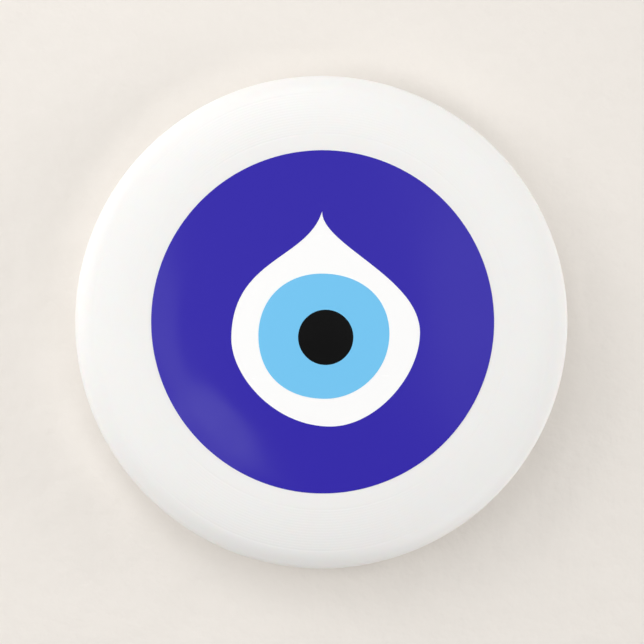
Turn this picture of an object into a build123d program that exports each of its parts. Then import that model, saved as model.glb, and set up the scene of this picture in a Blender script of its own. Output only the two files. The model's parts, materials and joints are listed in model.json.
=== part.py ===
"""A flying disc for throwing and catching, with a round evil eye printed on top.

The disc is one hollow plastic moulding: a flat flight plate, a shoulder that rolls down from it and carries
fine flight rings, and a deep rim that the disc rests on. The print is four thin layers: a white base, and on
it the blue field, the light blue iris and the black pupil. The base shows through the field as a white drop.

Millimetres, +Z up. The origin is on the ground at the centre of the disc, and the drop points along +Y.
An angle on the profile is the slope of the surface there: 0 is level, and 90 is the upright of the nose.
"""

from build123d import *
from math import asin, cos, degrees, radians, sin
import os

# Overall size
OUTER_R = 117.5  # at the nose, the widest part of the rim
PLATE_TOP = 28.0  # height of the flight plate's upper face
SKIN = 1.4  # thickness of the plate and the shoulder

# Outer profile, from the plate outwards
FLAT_R = 81.5  # the plate is level up to here, just past the print
SHOULDER_R = 109.6  # the ringed shoulder ends here
SHOULDER_SLOPE = 17.3  # where the shoulder meets the rim
RIM_SLOPE = 40.0  # where the rim's upper curve meets the nose
NOSE_ARC = 5.0
SIDE_ARC = 160.0  # the rim's side draws in very slightly below the nose

# Inner profile and lip
INNER_R = 114.6  # the rim's upright inner wall
CORNER_ARC = 6.0  # between the inner wall and the underside of the shoulder
LIP_OUTER_ROUND = 0.8
LIP_INNER_ROUND = 0.6

# Flight rings: fine, shallow moulded grooves, with a stronger one at each end of the band
RING_COUNT = 16
RING_FIRST_R = 89.2
RING_LAST_R = 108.7
RING_WIDTH, RING_DEPTH = 0.7, 0.05
END_RING_WIDTH, END_RING_DEPTH = 1.1, 0.1

# Underside of the plate
GATE_PAD_R, GATE_PAD_H = 7.0, 0.8
GATE_DIMPLE_R, GATE_DIMPLE_DEPTH = 3.0, 0.6
GATE_NUB_R, GATE_NUB_H = 1.0, 0.4
BEAD_R = 64.0
BEAD_WIDTH, BEAD_H = 1.6, 0.5
PIN_MARK_COUNT = 6
PIN_MARK_CIRCLE_R = 46.0
PIN_MARK_R, PIN_MARK_DEPTH = 4.0, 0.2

# Print
PRINT_R = 81.3
BASE_T = 0.10
INK_T = 0.08
PUPIL_CENTRE, PUPIL_R = (1.3, -7.4), 13.1

# Each outline runs top, left, bottom, right. The three lower points have upright or level tangents, and the
# handle lengths beside them say how round the outline is there.
DROP = {
    "top": (-0.4, 52.4),
    "left": (-43.4, -8.0),
    "bottom": (3.6, -49.6),
    "right": (46.0, -5.1),
    "top_handles": ((-6.9, -23.1), (-0.7, -15.9)),  # a cusp: both run down from the tip
    "left_handles": (38.0, 17.7),  # above, below
    "bottom_handles": (26.7, 21.3),  # left, right
    "right_handles": (26.1, 20.8),  # above, below
}
IRIS = {
    "top": (-0.5, 22.8),
    "left": (-30.6, -6.7),
    "bottom": (1.1, -36.5),
    "right": (31.5, -5.6),
    "top_handles": ((-17.6, 0.0), (18.1, 0.0)),  # a smooth crown
    "left_handles": (17.4, 18.1),
    "bottom_handles": (19.4, 15.5),
    "right_handles": (17.5, 18.2),
}


def on_arc(centre, radius, slope):
    """The point of a profile arc where its surface has that slope, in degrees."""
    turn = radians(slope)
    return (centre[0] + radius * sin(turn), centre[1] + radius * cos(turn))


def arc(centre, radius, start, end):
    """A stretch of a profile arc between two slopes."""
    return ThreePointArc(*(on_arc(centre, radius, slope) for slope in (start, (start + end) / 2, end)))


# The shoulder's arc starts level at FLAT_R and reaches SHOULDER_SLOPE at SHOULDER_R.
SHOULDER_ARC = (SHOULDER_R - FLAT_R) / sin(radians(SHOULDER_SLOPE))
SHOULDER_CENTRE = (FLAT_R, PLATE_TOP - SHOULDER_ARC)

# The rim's upper curve runs on from the shoulder, and its radius is what brings the nose out to OUTER_R.
NOSE_START_R = OUTER_R - NOSE_ARC * (1 - sin(radians(RIM_SLOPE)))
RIM_ARC = (NOSE_START_R - SHOULDER_R) / (sin(radians(RIM_SLOPE)) - sin(radians(SHOULDER_SLOPE)))
RIM_CENTRE = on_arc(SHOULDER_CENTRE, SHOULDER_ARC - RIM_ARC, SHOULDER_SLOPE)
NOSE_CENTRE = on_arc(RIM_CENTRE, RIM_ARC - NOSE_ARC, RIM_SLOPE)
SIDE_CENTRE = (OUTER_R - SIDE_ARC, NOSE_CENTRE[1])
SIDE_END_SLOPE = 90 + degrees(asin(SIDE_CENTRE[1] / SIDE_ARC))  # where the side reaches the ground

# The inner corner touches the underside of the shoulder and the inner wall.
UNDER_ARC = SHOULDER_ARC - SKIN
CORNER_SLOPE = degrees(asin((INNER_R - CORNER_ARC - FLAT_R) / (UNDER_ARC - CORNER_ARC)))
CORNER_CENTRE = on_arc(SHOULDER_CENTRE, UNDER_ARC - CORNER_ARC, CORNER_SLOPE)


def slope_at(radius):
    """The shoulder's slope at a distance from the axis."""
    return degrees(asin((radius - FLAT_R) / SHOULDER_ARC))


def shoulder_with_rings():
    """The shoulder's upper line, with each flight ring as a shallow round groove."""
    pitch = (RING_LAST_R - RING_FIRST_R) / (RING_COUNT - 1)
    lines, reached = [], 0.0
    for i in range(RING_COUNT):
        at_an_end = i in (0, RING_COUNT - 1)
        width = END_RING_WIDTH if at_an_end else RING_WIDTH
        depth = END_RING_DEPTH if at_an_end else RING_DEPTH
        middle = RING_FIRST_R + i * pitch
        near, far = slope_at(middle - width / 2), slope_at(middle + width / 2)
        lines.append(arc(SHOULDER_CENTRE, SHOULDER_ARC, reached, near))
        lines.append(
            ThreePointArc(
                on_arc(SHOULDER_CENTRE, SHOULDER_ARC, near),
                on_arc(SHOULDER_CENTRE, SHOULDER_ARC - depth, slope_at(middle)),
                on_arc(SHOULDER_CENTRE, SHOULDER_ARC, far),
            )
        )
        reached = far
    lines.append(arc(SHOULDER_CENTRE, SHOULDER_ARC, reached, SHOULDER_SLOPE))
    return lines


def underside():
    """The plate's lower line, from the start of the shoulder in to the axis: bead, gate pad and gate nub."""
    level = PLATE_TOP - SKIN
    pad = level - GATE_PAD_H
    dimple = pad + GATE_DIMPLE_DEPTH
    nub = dimple - GATE_NUB_H
    bead_outer, bead_inner = (BEAD_R + BEAD_WIDTH / 2, level), (BEAD_R - BEAD_WIDTH / 2, level)
    gate = [
        bead_inner,
        (GATE_PAD_R, level),
        (GATE_PAD_R, pad),
        (GATE_DIMPLE_R, pad),
        (GATE_DIMPLE_R, dimple),
        (GATE_NUB_R, dimple),
        (GATE_NUB_R, nub),
        (0, nub),
    ]
    return [
        Line((FLAT_R, level), bead_outer),
        ThreePointArc(bead_outer, (BEAD_R, level - BEAD_H), bead_inner),
        *(Line(a, b) for a, b in zip(gate, gate[1:])),
    ]


def corner_of(face, point):
    """The vertex of a flat face at a point of its outline."""
    return face.vertices().sort_by_distance((*point, 0))[0]


def section():
    """Half of the moulding's cross-section. The lip's two ground corners are rounded."""
    side_foot = on_arc(SIDE_CENTRE, SIDE_ARC, SIDE_END_SLOPE)
    inner_foot = (INNER_R, 0)
    under_lines = underside()
    face = make_face(
        [
            Line((0, PLATE_TOP), (FLAT_R, PLATE_TOP)),
            *shoulder_with_rings(),
            arc(RIM_CENTRE, RIM_ARC, SHOULDER_SLOPE, RIM_SLOPE),
            arc(NOSE_CENTRE, NOSE_ARC, RIM_SLOPE, 90),
            arc(SIDE_CENTRE, SIDE_ARC, 90, SIDE_END_SLOPE),
            Line(side_foot, inner_foot),
            Line(inner_foot, on_arc(CORNER_CENTRE, CORNER_ARC, 90)),
            arc(CORNER_CENTRE, CORNER_ARC, 90, CORNER_SLOPE),
            arc(SHOULDER_CENTRE, UNDER_ARC, CORNER_SLOPE, 0),
            *under_lines,
            Line(under_lines[-1] @ 1, (0, PLATE_TOP)),
        ]
    )
    face = fillet(corner_of(face, side_foot), LIP_OUTER_ROUND)
    return fillet(corner_of(face, inner_foot), LIP_INNER_ROUND)


def disc_moulding():
    """The whole disc body in one piece: plate, shoulder, rim and lip, with ejector pin marks underneath."""
    body = revolve(Plane.XZ * section(), Axis.Z)
    mark = Cylinder(PIN_MARK_R, PIN_MARK_DEPTH, align=(Align.CENTER, Align.CENTER, Align.MIN))
    level = Pos(0, 0, PLATE_TOP - SKIN)
    return body - level * PolarLocations(PIN_MARK_CIRCLE_R, PIN_MARK_COUNT) * mark


def film(low, high):
    """A round layer over the plate, between two heights above it."""
    return extrude(Pos(0, 0, PLATE_TOP + low) * Circle(PRINT_R), high - low)


def closed_outline(shape):
    """The face inside one of the four-point outlines."""
    top, left, bottom, right = (Vector(*shape[name]) for name in ("top", "left", "bottom", "right"))
    left_of_top, right_of_top = (top + Vector(*handle) for handle in shape["top_handles"])
    up, down = shape["left_handles"]
    above_left, below_left = left + Vector(0, up), left - Vector(0, down)
    back, forth = shape["bottom_handles"]
    left_of_bottom, right_of_bottom = bottom - Vector(back, 0), bottom + Vector(forth, 0)
    up, down = shape["right_handles"]
    above_right, below_right = right + Vector(0, up), right - Vector(0, down)
    return make_face(
        [
            Bezier(top, left_of_top, above_left, left),
            Bezier(left, below_left, left_of_bottom, bottom),
            Bezier(bottom, right_of_bottom, below_right, right),
            Bezier(right, above_right, right_of_top, top),
        ]
    )


def ink(face):
    """A layer of ink of that outline, on the white base."""
    return extrude(Pos(0, 0, PLATE_TOP + BASE_T) * face, INK_T)


def pupil_outline():
    """The face of the round pupil."""
    return Pos(*PUPIL_CENTRE) * Circle(PUPIL_R)


def main():
    parts = {
        "disc_moulding": disc_moulding(),
        "print_white_base": film(0, BASE_T),
        "print_blue_field": film(BASE_T, BASE_T + INK_T) - ink(closed_outline(DROP)),
        "print_light_blue_iris": ink(closed_outline(IRIS) - pupil_outline()),
        "print_black_pupil": ink(pupil_outline()),
    }
    os.makedirs("parts", exist_ok=True)
    for name, shape in parts.items():
        export_step(shape, f"parts/{name}.step")


main()
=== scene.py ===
"""The looks of a printed flying disc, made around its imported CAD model. Metres, +Z up, print side up."""

import json
import math

import bmesh
import bpy
import numpy as np
from mathutils import Matrix, Vector


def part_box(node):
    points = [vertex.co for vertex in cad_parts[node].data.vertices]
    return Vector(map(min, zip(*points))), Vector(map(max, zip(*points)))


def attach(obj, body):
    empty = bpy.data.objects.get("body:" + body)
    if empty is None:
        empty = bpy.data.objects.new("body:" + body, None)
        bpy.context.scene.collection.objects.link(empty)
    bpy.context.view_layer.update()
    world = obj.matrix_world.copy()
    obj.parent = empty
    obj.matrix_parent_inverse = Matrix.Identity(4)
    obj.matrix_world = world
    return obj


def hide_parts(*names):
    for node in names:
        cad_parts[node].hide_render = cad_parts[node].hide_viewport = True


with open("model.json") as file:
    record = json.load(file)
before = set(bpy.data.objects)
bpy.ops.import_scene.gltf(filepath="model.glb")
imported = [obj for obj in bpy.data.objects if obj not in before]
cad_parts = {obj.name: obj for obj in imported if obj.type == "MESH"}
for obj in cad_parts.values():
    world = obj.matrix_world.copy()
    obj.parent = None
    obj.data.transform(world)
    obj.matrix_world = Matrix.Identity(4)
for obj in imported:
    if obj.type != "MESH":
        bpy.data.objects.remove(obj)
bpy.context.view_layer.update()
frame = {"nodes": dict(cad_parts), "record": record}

MM = 0.001

# Read from the frame
mounts = {mount["name"]: mount for mount in frame["record"]["mounts"]}
OUTER_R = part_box("disc_moulding")[1].x
PLATE_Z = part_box("disc_moulding")[1].z
UNDER_Z = mounts["underside_pad"]["pos_m"][2]
SKIN = PLATE_Z - UNDER_Z
INNER_R = mounts["inner_rim"]["dims"]["r_mm"] * MM
PRINT_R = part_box("print_blue_field")[1].x
BASE_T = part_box("print_black_pupil")[0].z - PLATE_Z
INK_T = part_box("print_black_pupil")[1].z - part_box("print_black_pupil")[0].z
PUPIL_LOW, PUPIL_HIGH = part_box("print_black_pupil")

# The moulding's profile. A slope is in degrees: 0 is level, and 90 is the upright of the nose.
FLAT_R = 81.5 * MM
SHOULDER_R, SHOULDER_SLOPE = 109.6 * MM, 17.3
RIM_SLOPE = 40.0
NOSE_ARC = 5.0 * MM
SIDE_ARC = 160.0 * MM
CORNER_ARC = 6.0 * MM
LIP_OUTER_ROUND, LIP_INNER_ROUND = 0.8 * MM, 0.6 * MM
PARTING_Z, PARTING_PROUD, PARTING_W = 9.0 * MM, 0.04 * MM, 0.5 * MM

RING_COUNT = 16
RING_FIRST_R, RING_LAST_R = 89.2 * MM, 108.7 * MM
RING_W, RING_DEPTH = 0.8 * MM, 0.022 * MM
END_RING_W, END_RING_DEPTH = 1.2 * MM, 0.045 * MM

GATE_PAD_R, GATE_PAD_H = 7.0 * MM, 0.8 * MM
GATE_DIMPLE_R, GATE_DIMPLE_DEPTH = 3.0 * MM, 0.6 * MM
GATE_NUB_R, GATE_NUB_H = 1.0 * MM, 0.4 * MM
BEAD_R, BEAD_W, BEAD_H = 64.0 * MM, 1.6 * MM, 0.5 * MM
PIN_MARK_COUNT = 6
PIN_MARK_CIRCLE_R, PIN_MARK_R, PIN_MARK_DEPTH = 46.0 * MM, 4.0 * MM, 0.2 * MM
PIN_BAND = (40.0 * MM, 52.0 * MM)

SEGMENTS = 300  # round the disc; a multiple of the pin marks' count
OUTLINE_POINTS = 360  # round each print outline
SAME_SPOT = 0.001 * MM  # corners of CAD faces this near each other are one corner
WELD_GAP = 0.002 * MM  # points of a finished mesh this near each other are joined

SUNK = 0.02 * MM  # how far a print layer's lower face lies inside what it is printed on
INK_EDGE = 0.04 * MM  # how far a layer's edge is rounded in
INK_BROW = 0.3  # and down, as a share of the layer's thickness
INK_MIDDLE = 0.04  # a filled layer's innermost row, as a share of the way out to its outline


# ---------------------------------------------------------------- profile arcs


def on_arc(centre, radius, slope):
    """The point of a profile arc where its surface has that slope."""
    turn = math.radians(slope)
    return (centre[0] + radius * math.sin(turn), centre[1] + radius * math.cos(turn))


def arc_points(centre, radius, start, end, steps):
    """Points along a profile arc, without its first."""
    return [on_arc(centre, radius, start + (end - start) * i / steps) for i in range(1, steps + 1)]


def line_points(start, end, steps):
    """Points along a straight stretch of the profile, without its first."""
    (r0, z0), (r1, z1) = start, end
    return [(r0 + (r1 - r0) * i / steps, z0 + (z1 - z0) * i / steps) for i in range(1, steps + 1)]


SHOULDER_ARC = (SHOULDER_R - FLAT_R) / math.sin(math.radians(SHOULDER_SLOPE))
SHOULDER_CENTRE = (FLAT_R, PLATE_Z - SHOULDER_ARC)
NOSE_START_R = OUTER_R - NOSE_ARC * (1 - math.sin(math.radians(RIM_SLOPE)))
SLOPE_SPAN = math.sin(math.radians(RIM_SLOPE)) - math.sin(math.radians(SHOULDER_SLOPE))
RIM_ARC = (NOSE_START_R - SHOULDER_R) / SLOPE_SPAN
RIM_CENTRE = on_arc(SHOULDER_CENTRE, SHOULDER_ARC - RIM_ARC, SHOULDER_SLOPE)
NOSE_CENTRE = on_arc(RIM_CENTRE, RIM_ARC - NOSE_ARC, RIM_SLOPE)
SIDE_CENTRE = (OUTER_R - SIDE_ARC, NOSE_CENTRE[1])
UNDER_ARC = SHOULDER_ARC - SKIN
CORNER_SLOPE = math.degrees(math.asin((INNER_R - CORNER_ARC - FLAT_R) / (UNDER_ARC - CORNER_ARC)))
CORNER_CENTRE = on_arc(SHOULDER_CENTRE, UNDER_ARC - CORNER_ARC, CORNER_SLOPE)


def slope_at(radius):
    """The shoulder's slope at a distance from the axis."""
    return math.degrees(math.asin(max(radius - FLAT_R, 0.0) / SHOULDER_ARC))


# ---------------------------------------------------------------- the plate's slight unevenness


def ease(x, start, end):
    """0 up to start, 1 from end on, and smooth between."""
    t = np.clip((x - start) / (end - start), 0, 1)
    return t * t * (3 - 2 * t)


BOW, BOW_TURN = 0.14 * MM, 0.9  # the plate's saddle shape, as it cools unevenly
RIPPLE = 0.035 * MM  # along the edge of the flat
RIPPLE_R, RIPPLE_W = 79.0 * MM, 6.0 * MM
RIPPLES = ((5, 1.1, 0.8), (8, 0.7, 2.1), (13, 0.45, 4.0))  # waves round the disc, share, turn
SAGS = (  # where the shoulder's roll starts early: depth, azimuth and half width in degrees, from, to
    (0.55 * MM, 226, 22, 56.0 * MM, 80.0 * MM),
    (0.3 * MM, 180, 24, 66.0 * MM, 90.0 * MM),
    (0.3 * MM, 8, 34, 48.0 * MM, 86.0 * MM),
)
STILL_FROM, STILL_R = 88.0 * MM, 110.0 * MM  # the unevenness dies away across the shoulder


def unevenness(x, y):
    """How far the plate lies above or below its ideal surface at each point."""
    radius, angle = np.hypot(x, y), np.arctan2(y, x)
    height = BOW * (radius / OUTER_R) ** 2 * np.cos(2 * angle - BOW_TURN)
    waves = sum(share * np.sin(count * angle + turn) for count, share, turn in RIPPLES)
    height += RIPPLE * waves * np.exp(-(((radius - RIPPLE_R) / RIPPLE_W) ** 2))
    for depth, azimuth, half_width, start, end in SAGS:
        aside = (np.degrees(angle) - azimuth + 180) % 360 - 180
        height -= depth * ease(radius, start, end) * np.exp(-((aside / half_width) ** 2))
    return height * (1 - ease(radius, STILL_FROM, STILL_R))


def plate_surface(x, y):
    """The height of the plate's and the shoulder's upper face at each point, without the rings."""
    past_flat = np.maximum(np.hypot(x, y) - FLAT_R, 0)
    return SHOULDER_CENTRE[1] + np.sqrt(SHOULDER_ARC**2 - past_flat**2) + unevenness(x, y)


# ---------------------------------------------------------------- meshes


def add_piece(name, points, faces, materials, slots=None, sharp=35.0):
    """A smooth-shaded mesh piece, with edges sharper than that many degrees left sharp."""
    mesh = bpy.data.meshes.new(name)
    mesh.from_pydata([tuple(p) for p in points], [], faces)
    for material in materials:
        mesh.materials.append(material)
    if slots is not None:
        mesh.polygons.foreach_set("material_index", slots)
    mesh.polygons.foreach_set("use_smooth", [True] * len(mesh.polygons))
    mesh.set_sharp_from_angle(angle=math.radians(sharp))
    mesh.validate()
    piece = bpy.data.objects.new(name, mesh)
    bpy.context.scene.collection.objects.link(piece)
    return piece


def grid_faces(rows, columns, first=0, closed=True):
    """Quads between rows of points. A closed row joins its last point to its first."""
    last = columns if closed else columns - 1
    faces = []
    for row in range(rows - 1):
        low, high = first + row * columns, first + (row + 1) * columns
        for i in range(last):
            j = (i + 1) % columns
            faces.append((low + i, high + i, high + j, low + j))
    return faces


# ---------------------------------------------------------------- disc moulding


def ring_rows():
    """The shoulder's upper profile, dipping at each flight ring."""
    pitch = (RING_LAST_R - RING_FIRST_R) / (RING_COUNT - 1)
    rows = arc_points(SHOULDER_CENTRE, SHOULDER_ARC, 0, slope_at(RING_FIRST_R - END_RING_W), 9)
    for ring in range(RING_COUNT):
        at_an_end = ring in (0, RING_COUNT - 1)
        width, depth = (END_RING_W, END_RING_DEPTH) if at_an_end else (RING_W, RING_DEPTH)
        for share in (-1, -0.6, -0.3, 0, 0.3, 0.6, 1):
            radius = RING_FIRST_R + ring * pitch + share * width / 2
            dip = depth * (1 + math.cos(math.pi * share)) / 2
            rows.append(on_arc(SHOULDER_CENTRE, SHOULDER_ARC - dip, slope_at(radius)))
    rows.append(on_arc(SHOULDER_CENTRE, SHOULDER_ARC, SHOULDER_SLOPE))
    return rows


def side_rows():
    """Down the rim's side from the nose, over the parting line, to the start of the lip's outer round."""

    def side_r(z):
        """The side's distance from the axis at a height."""
        return SIDE_CENTRE[0] + math.sqrt(SIDE_ARC**2 - (z - SIDE_CENTRE[1]) ** 2)

    rows = []
    for z in np.linspace(NOSE_CENTRE[1], PARTING_Z + PARTING_W / 2, 6)[1:]:
        rows.append((side_r(z), z))
    rows.append((side_r(PARTING_Z) + PARTING_PROUD, PARTING_Z))
    for z in np.linspace(PARTING_Z - PARTING_W / 2, LIP_OUTER_ROUND, 6):
        rows.append((side_r(z), z))
    return rows


def upper_profile():
    """From near the axis over the plate, the shoulder and the rim to the foot of the inner wall."""
    rows = line_points((0, PLATE_Z), (FLAT_R, PLATE_Z), 28)
    rows += ring_rows()
    rows += arc_points(RIM_CENTRE, RIM_ARC, SHOULDER_SLOPE, RIM_SLOPE, 8)
    rows += arc_points(NOSE_CENTRE, NOSE_ARC, RIM_SLOPE, 90, 12)
    rows += side_rows()
    outer_lip = (rows[-1][0] - LIP_OUTER_ROUND, LIP_OUTER_ROUND)
    rows += arc_points(outer_lip, LIP_OUTER_ROUND, 90, 180, 5)
    inner_lip = (INNER_R + LIP_INNER_ROUND, LIP_INNER_ROUND)
    rows.append((inner_lip[0], 0))
    rows += arc_points(inner_lip, LIP_INNER_ROUND, 180, 270, 5)
    return rows


def lower_profile():
    """Up the inner wall, round the corner and in under the shoulder and the bead to the pin marks' band."""
    wall_foot = (INNER_R, LIP_INNER_ROUND)
    wall_top = (INNER_R, CORNER_CENTRE[1])
    rows = line_points(wall_foot, wall_top, 5)
    rows += arc_points(CORNER_CENTRE, CORNER_ARC, 90, CORNER_SLOPE, 10)
    rows += arc_points(SHOULDER_CENTRE, UNDER_ARC, CORNER_SLOPE, 0, 14)
    bead_outer, bead_inner = (BEAD_R + BEAD_W / 2, UNDER_Z), (BEAD_R - BEAD_W / 2, UNDER_Z)
    rows += line_points((FLAT_R, UNDER_Z), bead_outer, 2)
    for share in (-0.75, -0.5, -0.25, 0, 0.25, 0.5, 0.75):
        height = BEAD_H * math.cos(share * math.pi / 2)
        rows.append((BEAD_R - share * BEAD_W / 2, UNDER_Z - height))
    rows.append(bead_inner)
    return rows + line_points(bead_inner, (PIN_BAND[1], UNDER_Z), 4)


def gate_profile():
    """From the pin marks' band in over the gate pad, its dimple and the nub left by the gate."""
    pad = UNDER_Z - GATE_PAD_H
    dimple = pad + GATE_DIMPLE_DEPTH
    nub = dimple - GATE_NUB_H
    corners = [(GATE_PAD_R, UNDER_Z), (GATE_PAD_R, pad), (GATE_DIMPLE_R, pad)]
    corners += [(GATE_DIMPLE_R, dimple), (GATE_NUB_R, dimple), (GATE_NUB_R, nub)]
    rows = line_points((PIN_BAND[0], UNDER_Z), corners[0], 13)
    for start, end in zip(corners, corners[1:]):
        rows += line_points(start, end, 2)
    return rows + [(GATE_NUB_R / 2, nub)]


def turned(rows):
    """The points of profile rows turned round the axis."""
    angles = np.arange(SEGMENTS) * 2 * math.pi / SEGMENTS
    points = []
    for radius, z in rows:
        points += [(radius * c, radius * s, z) for c, s in zip(np.cos(angles), np.sin(angles))]
    return points


def pin_mark_patch(index, steps=8, rings=5):
    """One sector of the band under the plate, with its round, slightly sunk pin mark: points and faces."""
    per_mark = SEGMENTS // PIN_MARK_COUNT
    step = 2 * math.pi / SEGMENTS
    middle = index * per_mark * step
    inner, outer = PIN_BAND
    sides = [inner + (outer - inner) * i / steps for i in range(steps + 1)]
    turns = [middle + (i - per_mark / 2) * step for i in range(per_mark + 1)]
    edge = [(outer, t) for t in turns] + [(r, turns[-1]) for r in reversed(sides[1:-1])]
    edge += [(inner, t) for t in reversed(turns)] + [(r, turns[0]) for r in sides[1:-1]]
    edge = np.array([(r * math.cos(t), r * math.sin(t)) for r, t in edge])
    centre = PIN_MARK_CIRCLE_R * np.array([math.cos(middle), math.sin(middle)])
    away = edge - centre
    circle = centre + PIN_MARK_R * away / np.linalg.norm(away, axis=1)[:, None]
    rows = [(edge + (circle - edge) * i / rings, UNDER_Z) for i in range(rings + 1)]
    sunk = UNDER_Z + PIN_MARK_DEPTH
    rows += [(centre + (circle - centre) * share, sunk) for share in (1, 0.66, 0.33)]
    points = [(x, y, z) for plan, z in rows for x, y in plan]
    count = len(edge)
    faces = grid_faces(len(rows), count)
    points.append((*centre, sunk))
    last = (len(rows) - 1) * count
    faces += [(last + i, len(points) - 1, last + (i + 1) % count) for i in range(count)]
    return points, faces


def moulding_piece(gloss, matt):
    """The disc body: one closed mesh, glossy outside and matt inside."""
    top_rows, wall_rows, gate_rows = upper_profile(), lower_profile(), gate_profile()
    outside = top_rows + wall_rows
    points = [(0, 0, PLATE_Z)] + turned(outside)
    faces = [(0, 1 + i, 1 + (i + 1) % SEGMENTS) for i in range(SEGMENTS)]
    faces += grid_faces(len(outside), SEGMENTS, first=1)
    matt_from = SEGMENTS * len(top_rows)
    for index in range(PIN_MARK_COUNT):
        more_points, more_faces = pin_mark_patch(index)
        first = len(points)
        points += more_points
        faces += [tuple(first + v for v in face) for face in more_faces]
    first = len(points)
    points += turned([(PIN_BAND[0], UNDER_Z)] + gate_rows)
    faces += grid_faces(len(gate_rows) + 1, SEGMENTS, first)
    points.append((0, 0, gate_rows[-1][1]))
    last = first + len(gate_rows) * SEGMENTS
    faces += [(last + i, len(points) - 1, last + (i + 1) % SEGMENTS) for i in range(SEGMENTS)]
    points = np.array(points)
    points[:, 2] += unevenness(points[:, 0], points[:, 1])
    slots = [0] * matt_from + [1] * (len(faces) - matt_from)
    piece = add_piece("disc_body", points, faces, [gloss, matt], slots)
    weld(piece)
    return piece


def weld(piece):
    """Joins points that lie on each other and makes the faces look outwards."""
    shape = bmesh.new()
    shape.from_mesh(piece.data)
    bmesh.ops.remove_doubles(shape, verts=shape.verts, dist=WELD_GAP)
    bmesh.ops.recalc_face_normals(shape, faces=shape.faces)
    shape.to_mesh(piece.data)
    shape.free()


# ---------------------------------------------------------------- print outlines


def flat_face_outlines(node, z):
    """The closed outlines of a CAD node's level face at height z, each an array of x, y points."""
    mesh = frame["nodes"][node].data
    level = [f for f in mesh.polygons if f.normal.z > 0.99 and abs(f.center.z - z) < SAME_SPOT]
    spots, after = {}, {}
    for face in level:
        corners = []
        for vertex in face.vertices:
            x, y, _ = mesh.vertices[vertex].co
            spot = (round(x / SAME_SPOT), round(y / SAME_SPOT))
            spots[spot] = (x, y)
            corners.append(spot)
        for start, end in zip(corners, corners[1:] + corners[:1]):
            after[(start, end)] = end
    free = {start: end for start, end in after if (end, start) not in after}
    outlines = []
    while free:
        first, at = free.popitem()
        outline = [spots[first]]
        while at in free:
            outline.append(spots[at])
            at = free.pop(at)
        outlines.append(np.array(outline))
    return outlines


def ordered(outline):
    """The outline anticlockwise from its topmost point, which is the drop's tip."""
    ahead = np.roll(outline, -1, axis=0)
    area = np.sum(outline[:, 0] * ahead[:, 1] - ahead[:, 0] * outline[:, 1])
    outline = outline if area > 0 else outline[::-1]
    return np.roll(outline, -int(np.argmax(outline[:, 1])), axis=0)


def smoothed(outline, has_corner):
    """Evenly spaced points of a smooth curve through the outline, whose start may be a corner."""
    closed = np.vstack([outline, outline[:1]])
    run = np.concatenate([[0], np.cumsum(np.linalg.norm(np.diff(closed, axis=0), axis=1))])
    heading = np.gradient(closed, run, axis=0, edge_order=2)
    if not has_corner:
        heading[0] = heading[-1] = (heading[0] + heading[-1]) / 2
    places = np.arange(OUTLINE_POINTS) * run[-1] / OUTLINE_POINTS
    span = np.searchsorted(run, places, side="right") - 1
    length = (run[span + 1] - run[span])[:, None]
    t = (places - run[span])[:, None] / length
    start, end = closed[span], closed[span + 1]
    away, arrival = heading[span] * length, heading[span + 1] * length
    change = end - start
    return start + t * (away + t * (3 * change - 2 * away - arrival + t * (away + arrival - 2 * change)))


def circle_outline(centre, radius):
    """A round outline, anticlockwise from its topmost point."""
    angles = math.pi / 2 + np.arange(OUTLINE_POINTS) * 2 * math.pi / OUTLINE_POINTS
    return np.array(centre) + radius * np.stack([np.cos(angles), np.sin(angles)], axis=1)


# ---------------------------------------------------------------- print layers


def moved_towards(outline, other, distance):
    """Each point of an outline moved that far towards the point of the other one that it pairs with."""
    way = other - outline
    return outline + way * distance / np.linalg.norm(way, axis=1)[:, None]


def between(inner, outer, rows):
    """Rows of points from the inner outline to the outer one."""
    return [inner + (outer - inner) * i / rows for i in range(rows + 1)]


def layer_piece(name, inner, outer, low, high, material, rows):
    """A print layer between two outlines, low to high above the plate, with its upper edges rounded.

    Without an inner outline it is filled in to its centre.
    """
    centre = outer.mean(axis=0)
    filled = inner is None
    start = centre + (outer - centre) * INK_MIDDLE if filled else inner
    start_in = start if filled else moved_towards(start, outer, INK_EDGE)
    end_in = moved_towards(outer, start, INK_EDGE)
    top = [(plan, high) for plan in between(start_in, end_in, rows)]
    brow = high - (high - low) * INK_BROW
    plans = [] if filled else [(start, low), (start, brow)]
    plans += top + [(outer, brow), (outer, low)]
    plans += [(plan, low) for plan in reversed(between(start_in, end_in, rows))]
    if not filled:
        plans += [(start, low)]
    plan = np.vstack([row for row, _ in plans])
    above = np.repeat([height for _, height in plans], OUTLINE_POINTS)
    points = np.column_stack([plan, plate_surface(plan[:, 0], plan[:, 1]) + above])
    faces = grid_faces(len(plans), OUTLINE_POINTS)
    if filled:
        middle = plate_surface(*centre)
        tips = [(*centre, middle + high), (*centre, middle + low)]
        first_of = (0, (len(plans) - 1) * OUTLINE_POINTS)
        for tip, first in enumerate(first_of):
            at = len(points) + tip
            faces += [(at, first + i, first + (i + 1) % OUTLINE_POINTS) for i in range(OUTLINE_POINTS)]
        points = np.vstack([points, tips])
    piece = add_piece(name, points, faces, [material])
    weld(piece)
    return piece


# ---------------------------------------------------------------- materials


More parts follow.
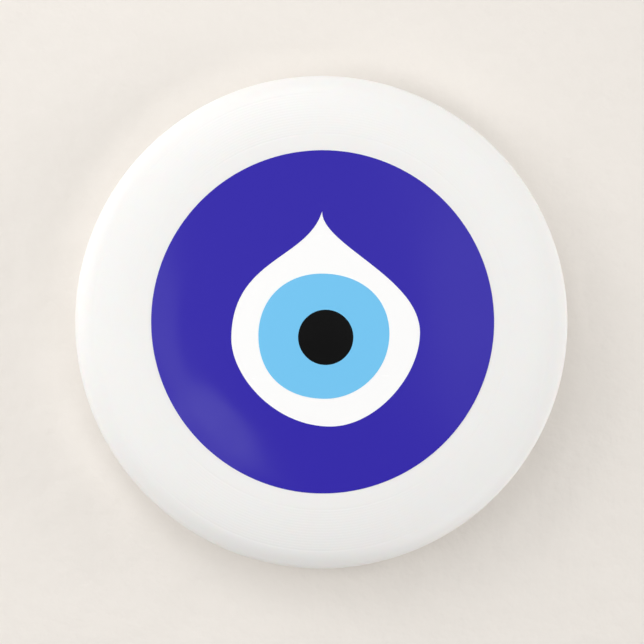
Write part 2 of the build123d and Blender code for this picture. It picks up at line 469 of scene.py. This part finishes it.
class Shading:
    """A node material with short ways to add nodes. Places are the object's own, in metres."""

    def __init__(self, name):
        self.material = bpy.data.materials.new(name)
        self.material.use_nodes = True
        self.tree = self.material.node_tree
        self.surface = self.tree.nodes["Principled BSDF"]
        self.place = self.add("ShaderNodeTexCoord").outputs["Object"]

    def add(self, kind, sockets=None, **settings):
        """A node with those settings, and with what is put into its sockets."""
        node = self.tree.nodes.new(kind)
        for key, value in settings.items():
            setattr(node, key, value)
        for key, value in (sockets or {}).items():
            self.put(node.inputs[key], value)
        return node

    def put(self, socket, value):
        """Gives a socket a value, or joins it to another node's output."""
        if isinstance(value, bpy.types.NodeSocket):
            self.tree.links.new(value, socket)
        else:
            socket.default_value = value

    def math(self, operation, a, b=0.0):
        """The outcome of one operation on a and b."""
        return self.add("ShaderNodeMath", {0: a, 1: b}, operation=operation).outputs[0]

    def noise(self, scale, detail=2.0, roughness=0.5, place=None):
        """Noise about 0.5, with that many waves to the metre."""
        sockets = {"Vector": place or self.place, "Scale": scale, "Detail": detail, "Roughness": roughness}
        return self.add("ShaderNodeTexNoise", sockets).outputs["Fac"]

    def remap(self, value, start, end, low, high):
        """Low where the value is start, high where it is end, and even between."""
        sockets = {"Value": value, "From Min": start, "From Max": end, "To Min": low, "To Max": high}
        return self.add("ShaderNodeMapRange", sockets).outputs["Result"]

    def blend(self, share, a, b):
        """A colour between a and b."""
        node = self.add("ShaderNodeMix", data_type="RGBA")
        for key, value in ((0, share), (6, a), (7, b)):
            self.put(node.inputs[key], value)
        return node.outputs[2]

    def stretched(self, turn, scale):
        """Places turned about Z and scaled, for marks that run one way."""
        sockets = {"Vector": self.place, "Rotation": (0, 0, math.radians(turn)), "Scale": scale}
        return self.add("ShaderNodeMapping", sockets).outputs["Vector"]

    def bump(self, height, depth, under=None):
        """Small relief that deep, in metres, on top of another bump."""
        sockets = {"Height": height, "Distance": depth, "Strength": 1.0}
        node = self.add("ShaderNodeBump", sockets)
        if under is not None:
            self.put(node.inputs["Normal"], under)
        return node.outputs["Normal"]

    def scratches(self, turns, spacing, share):
        """A mask of hairlines, 0 or nearly 1, running in a few directions, spacing of them to the metre."""
        lines = None
        for turn in turns:
            place = self.stretched(turn, (spacing * 0.04, spacing, 1.0))
            field = self.noise(1.0, detail=1.0, place=place)
            ridge = self.math("ABSOLUTE", self.math("SUBTRACT", field, 0.5))
            line = self.remap(ridge, 0.0, share, 1.0, 0.0)
            lines = line if lines is None else self.math("MAXIMUM", lines, line)
        broken = self.remap(self.noise(60.0, detail=3.0), 0.6, 0.7, 0.0, 1.0)
        return self.math("MULTIPLY", lines, broken)

    def finish(self, colour, roughness, normal, **fixed):
        """Joins what varies to the shader, sets what doesn't, and returns the material."""
        for key, value in (("Base Color", colour), ("Roughness", roughness), ("Normal", normal)):
            self.put(self.surface.inputs[key], value)
        for key, value in fixed.items():
            self.surface.inputs[key.replace("_", " ")].default_value = value
        return self.material


PLASTIC_WHITE = (0.857, 0.85, 0.84, 1)
PLASTIC_SHADE = (0.853, 0.846, 0.834, 1)
PLASTIC = {"IOR": 1.52, "Subsurface_Weight": 0.12, "Subsurface_Scale": 0.0015}
LATHE_PITCH = 0.35 * MM  # of the fine turned marks inside


def turn_and_radius(shading):
    """Each place's angle round the axis and its distance from it."""
    split = shading.add("ShaderNodeSeparateXYZ", {0: shading.place})
    x, y = split.outputs["X"], split.outputs["Y"]
    squares = shading.math("ADD", shading.math("MULTIPLY", x, x), shading.math("MULTIPLY", y, y))
    return shading.math("ARCTAN2", y, x), shading.math("SQRT", squares)


def flow_lines(shading):
    """Faint streaks that run out from the gate, as melt leaves them in a thin round moulding."""
    turn, radius = turn_and_radius(shading)
    place = shading.add("ShaderNodeCombineXYZ", {0: turn, 1: radius}).outputs[0]
    place = shading.add("ShaderNodeMapping", {"Vector": place, "Scale": (9.0, 14.0, 1.0)}).outputs[0]
    return shading.noise(1.0, detail=3.0, roughness=0.6, place=place)


def glossy_plastic():
    """White polyethylene from a polished mould: soft gloss, faint flow lines and a few hairlines."""
    shading = Shading("white_plastic_gloss")
    flow = flow_lines(shading)
    cloud = shading.noise(22.0, detail=4.0)
    streaks, patches = shading.remap(flow, 0.35, 0.65, 0, 1), shading.remap(cloud, 0.3, 0.7, 0, 1)
    tone = shading.math("MULTIPLY", streaks, patches)
    colour = shading.blend(tone, PLASTIC_WHITE, PLASTIC_SHADE)
    hairlines = shading.scratches((12, 68, 131), 700.0, 0.012)
    roughness = shading.remap(cloud, 0.3, 0.7, 0.32, 0.37)
    roughness = shading.math("ADD", roughness, shading.math("MULTIPLY", hairlines, 0.18))
    skin = shading.bump(shading.noise(1100.0, detail=2.0), 0.004 * MM)
    swell = shading.bump(shading.noise(95.0, detail=1.0), 0.005 * MM, skin)
    normal = shading.bump(hairlines, -0.004 * MM, swell)
    return shading.finish(colour, roughness, normal, **PLASTIC)


def matt_plastic():
    """The inner side of the same moulding, from a plain machined mould face."""
    shading = Shading("white_plastic_matt")
    cloud = shading.noise(30.0, detail=4.0)
    grain = shading.noise(2600.0, detail=3.0, roughness=0.65)
    _, radius = turn_and_radius(shading)
    lathe = shading.math("SINE", shading.math("MULTIPLY", radius, 2 * math.pi / LATHE_PITCH))
    colour = shading.blend(shading.remap(cloud, 0.3, 0.7, 0, 1), PLASTIC_WHITE, PLASTIC_SHADE)
    roughness = shading.remap(grain, 0.3, 0.7, 0.48, 0.62)
    turned_marks = shading.bump(lathe, 0.002 * MM)
    normal = shading.bump(grain, 0.012 * MM, turned_marks)
    return shading.finish(colour, roughness, normal, **PLASTIC)


INKS = {  # by slot: the colour, the shade that clouds it, and the roughness where it is smoothest
    "ink_white": ((0.965, 0.965, 0.965, 1), (0.955, 0.955, 0.955, 1), 0.2),
    "ink_blue": ((0.0385, 0.0255, 0.408, 1), (0.0345, 0.0225, 0.392, 1), 0.1),
    "ink_light_blue": ((0.178, 0.565, 0.89, 1), (0.168, 0.545, 0.875, 1), 0.15),
    "ink_black": ((0.0006, 0.0006, 0.0007, 1), (0.001, 0.001, 0.001, 1), 0.14),
}


def ink(slot):
    """A thin even ink: fine pigment grain, faint clouds, and a smooth, slightly uneven gloss."""
    colour, shade, gloss = INKS[slot]
    shading = Shading(slot)
    cloud = shading.noise(18.0, detail=4.0)
    grain = shading.noise(3200.0, detail=2.0)
    share = shading.math("MULTIPLY", shading.remap(cloud, 0.3, 0.7, 0.2, 1.0), grain)
    hairlines = shading.scratches((35, 104), 600.0, 0.01)
    roughness = shading.remap(cloud, 0.3, 0.7, gloss, gloss + 0.05)
    roughness = shading.math("ADD", roughness, shading.math("MULTIPLY", hairlines, 0.12))
    peel = shading.bump(shading.noise(420.0, detail=2.0), 0.006 * MM)
    normal = shading.bump(grain, 0.0008 * MM, peel)
    return shading.finish(shading.blend(share, colour, shade), roughness, normal, IOR=1.48)


def paper():
    """Pale, slightly warm paper under the disc: soft clouds, a felt-side mottle and a fine tooth."""
    shading = Shading("pale_paper")
    cloud = shading.noise(9.0, detail=5.0, roughness=0.6)
    mottle = shading.noise(170.0, detail=4.0, roughness=0.6)
    tooth = shading.noise(1100.0, detail=3.0, roughness=0.6)
    patches, specks = shading.remap(cloud, 0.3, 0.7, 0.0, 0.6), shading.remap(mottle, 0.3, 0.7, 0.0, 0.4)
    share = shading.math("ADD", patches, specks)
    colour = shading.blend(share, (0.827, 0.786, 0.741, 1), (0.803, 0.763, 0.717, 1))
    roughness = shading.remap(tooth, 0.3, 0.7, 0.82, 0.92)
    waves = shading.noise(45.0, detail=4.0, roughness=0.55)
    cockle = shading.bump(waves, 1.2 * MM)
    felt = shading.bump(mottle, 0.12 * MM, cockle)
    normal = shading.bump(tooth, 0.01 * MM, felt)
    return shading.finish(colour, roughness, normal, Specular_IOR_Level=0.2)


# ---------------------------------------------------------------- the object


def place_piece(piece, node):
    """Puts a finished piece on the one body, in place of its CAD node."""
    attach(piece, "root")
    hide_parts(node)


def make_disc():
    """The moulding and the four layers of the print on it."""
    place_piece(moulding_piece(glossy_plastic(), matt_plastic()), "disc_moulding")

    ink_z = PLATE_Z + BASE_T + INK_T
    drop = min(flat_face_outlines("print_blue_field", ink_z), key=np.ptp)
    drop = smoothed(ordered(drop), has_corner=True)
    iris = max(flat_face_outlines("print_light_blue_iris", ink_z), key=np.ptp)
    iris = smoothed(ordered(iris), has_corner=False)
    pupil_middle = (PUPIL_LOW + PUPIL_HIGH) / 2
    pupil = circle_outline(pupil_middle[:2], (PUPIL_HIGH.x - PUPIL_LOW.x) / 2)
    print_edge = circle_outline((0, 0), PRINT_R)

    base, inked = (-SUNK, BASE_T), (BASE_T - SUNK, BASE_T + INK_T)
    layers = [
        ("print_base", "ink_white", "print_white_base", None, print_edge, base, 34),
        ("print_field", "ink_blue", "print_blue_field", drop, print_edge, inked, 18),
        ("print_iris", "ink_light_blue", "print_light_blue_iris", pupil, iris, inked, 8),
        ("print_pupil", "ink_black", "print_black_pupil", None, pupil, inked, 8),
    ]
    for name, slot, node, inner, outer, (low, high), rows in layers:
        piece = layer_piece(name, inner, outer, low, high, ink(slot), rows)
        place_piece(piece, node)


# ---------------------------------------------------------------- surroundings


FLOOR_HALF = 2.0


def make_floor():
    """A plain pale sheet that the disc lies on."""
    side = np.linspace(-FLOOR_HALF, FLOOR_HALF, 9)
    points = [(x, y, 0) for y in side for x in side]
    faces = [tuple(reversed(face)) for face in grid_faces(len(side), len(side), closed=False)]
    add_piece("floor", points, faces, [paper()])


def aimed(thing, target):
    """Turns a light or camera so that it looks at target."""
    thing.rotation_euler = (Vector(target) - thing.location).to_track_quat("-Z", "Y").to_euler()


def add_softbox(name, azimuth, elevation, distance, width, height, watts, mirrored=True):
    """A soft rectangular light. Azimuth 0 is to the right (+X), and 90 is towards the drop's tip (+Y).

    One that isn't mirrored lights the object without showing as a reflection in it.
    """
    lamp = bpy.data.lights.new(name, "AREA")
    lamp.shape = "RECTANGLE"
    lamp.size, lamp.size_y = width, height
    lamp.energy = watts
    light = bpy.data.objects.new(name, lamp)
    bpy.context.scene.collection.objects.link(light)
    turn, rise = math.radians(azimuth), math.radians(elevation)
    level = distance * math.cos(rise)
    light.location = (level * math.cos(turn), level * math.sin(turn), distance * math.sin(rise))
    aimed(light, (0, 0, 0))
    light.visible_camera = False
    light.visible_glossy = mirrored
    return light


# The studio by height: the sine of the elevation, and the glow there
WALLS = ((0.1, 0.47), (0.3, 0.18), (0.6, 0.1), (0.78, 0.1))
CEILING = ((0.86, 1.06), (0.93, 1.01), (0.965, 0.25), (0.985, 0.03))
WALL_TINT, CEILING_TINT = (1.03, 0.99, 0.93), (1.0, 0.995, 0.98)
GLOW = [(*stop, WALL_TINT) for stop in WALLS] + [(*stop, CEILING_TINT) for stop in CEILING]


def make_world():
    """A light tent: pale walls, a bright ring overhead, and a dark opening in it for the camera."""
    world = bpy.data.worlds.new("studio")
    bpy.context.scene.world = world
    world.use_nodes = True
    tree = world.node_tree
    place = tree.nodes.new("ShaderNodeTexCoord")
    split = tree.nodes.new("ShaderNodeSeparateXYZ")
    glow = tree.nodes.new("ShaderNodeValToRGB")
    ramp = glow.color_ramp
    while len(ramp.elements) < len(GLOW):
        ramp.elements.new(1.0)
    for stop, (height, strength, tint) in zip(ramp.elements, GLOW):
        stop.position = height
        stop.color = (*(strength * share for share in tint), 1)
    tree.links.new(place.outputs["Generated"], split.inputs[0])
    tree.links.new(split.outputs["Z"], glow.inputs["Fac"])
    tree.links.new(glow.outputs["Color"], tree.nodes["Background"].inputs["Color"])


def add_card(name, x_range, y_range, height, glow):
    """A dim sheet of light, level overhead, that shows as a reflection in the print."""
    width, length = x_range[1] - x_range[0], y_range[1] - y_range[0]
    card = add_softbox(name, 0, 90, height, width, length, glow * math.pi * width * length)
    x, y = sum(x_range) / 2, sum(y_range) / 2
    card.location = (x, y, height)
    aimed(card, (x, y, 0))


def make_lights():
    """Softboxes beyond the upper left, low ones on the right and below, and cards overhead."""
    add_softbox("key_left", 142, 24, 2.2, 3.0, 0.9, 30.5, mirrored=False)
    add_softbox("key_top", 106, 45, 2.2, 1.2, 0.9, 7.5)
    add_softbox("key_high", 182, 41, 2.2, 1.2, 1.0, 10, mirrored=False)
    add_softbox("low_right", 6, 13, 2.2, 1.8, 0.9, 23, mirrored=False)
    add_softbox("low_front", 309, 34, 2.2, 1.3, 0.9, 9.3)
    add_card("card_left", (-0.79, -0.09), (-0.53, 0.13), 1.2, 0.8)
    add_card("card_low_left", (-0.09, -0.05), (-0.2, -0.07), 1.2, 1.7)
    add_card("card_right", (0.14, 0.84), (-0.07, 0.2), 1.2, 0.55)
    add_card("card_over", (-0.06, 0.25), (-0.03, 0.4), 1.2, 0.13)


CAMERA_PLACE = (-66 * MM, -19 * MM, 1626 * MM)
CAMERA_TARGET = (0, 0, NOSE_CENTRE[1])
CAMERA_LENS = 188.8  # on a 36 mm wide sensor


def make_camera():
    """Almost straight above, a little to the left, with the drop's tip up."""
    camera = bpy.data.objects.new("camera", bpy.data.cameras.new("camera"))
    bpy.context.scene.collection.objects.link(camera)
    camera.data.sensor_width = 36
    camera.data.lens = CAMERA_LENS
    camera.location = CAMERA_PLACE
    away = (camera.location - Vector(CAMERA_TARGET)).normalized()
    right = Vector((0, 1, 0)).cross(away).normalized()
    camera.rotation_euler = Matrix((right, away.cross(right), away)).transposed().to_euler()
    bpy.context.scene.camera = camera


make_disc()
make_floor()
make_world()
make_lights()
make_camera()
bpy.context.scene.view_settings.view_transform = "Standard"
